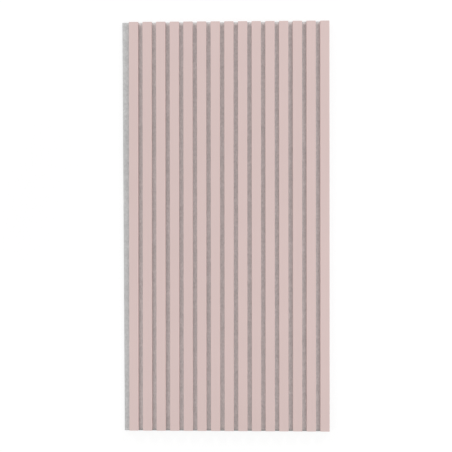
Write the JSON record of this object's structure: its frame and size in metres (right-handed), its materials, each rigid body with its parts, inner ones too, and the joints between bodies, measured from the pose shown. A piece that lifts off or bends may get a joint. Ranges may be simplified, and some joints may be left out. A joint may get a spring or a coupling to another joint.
{
  "type": "slatted acoustic wall panel",
  "caption": "Flat wall panel of parallel painted MDF slats glued to a grey felt backing, with a felt tongue along one long edge; lines a wall and softens sound.",
  "frame": {"origin": "on the felt's back face, at the middle of the panel's length and greatest width", "axes": "+Z out of the slatted face, +Y along the slats to the panel's top end, +X to the right edge, away from the felt tongue"},
  "size_m": [0.608, 1.2036, 0.021],
  "materials": {
    "grey_felt": "matte",
    "pink_slat": "matte"
  },
  "bodies": {
    "root": {"felt_backing": "grey_felt", "slat_01": "pink_slat", "slat_02": "pink_slat", "slat_03": "pink_slat", "slat_04": "pink_slat", "slat_05": "pink_slat", "slat_06": "pink_slat", "slat_07": "pink_slat", "slat_08": "pink_slat", "slat_09": "pink_slat", "slat_10": "pink_slat", "slat_11": "pink_slat", "slat_12": "pink_slat", "slat_13": "pink_slat", "slat_14": "pink_slat", "slat_15": "pink_slat"}
  },
  "joints": []
}
